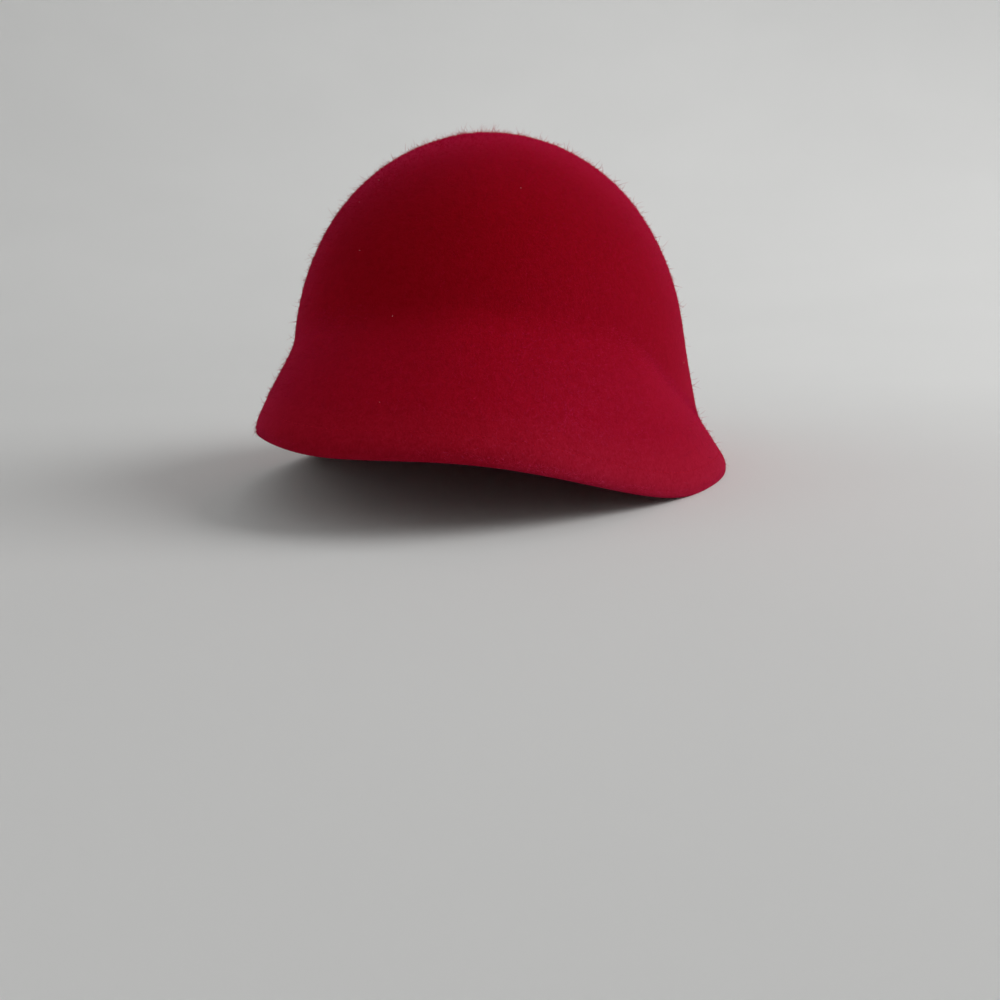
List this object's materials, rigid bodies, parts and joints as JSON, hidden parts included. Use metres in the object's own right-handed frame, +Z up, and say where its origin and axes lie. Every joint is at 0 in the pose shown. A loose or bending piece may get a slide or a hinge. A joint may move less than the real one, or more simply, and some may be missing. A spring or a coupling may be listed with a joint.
{
  "type": "felt cap",
  "caption": "Soft felt cap made in one piece: a smooth domed crown bends along an arched crease into a sloping front peak and a narrow turned edge.",
  "frame": {"origin": "middle of the cap's bounding box, on the surface that the cap rests on", "axes": "+Z up; the peak points along -Y; +X is the wearer's left"},
  "size_m": [0.2192, 0.2582, 0.1534],
  "materials": {
    "felt": "matt crimson wool felt with a short raised nap and loose fibres"
  },
  "bodies": {
    "root": {"felt_cap": "felt"}
  },
  "joints": []
}
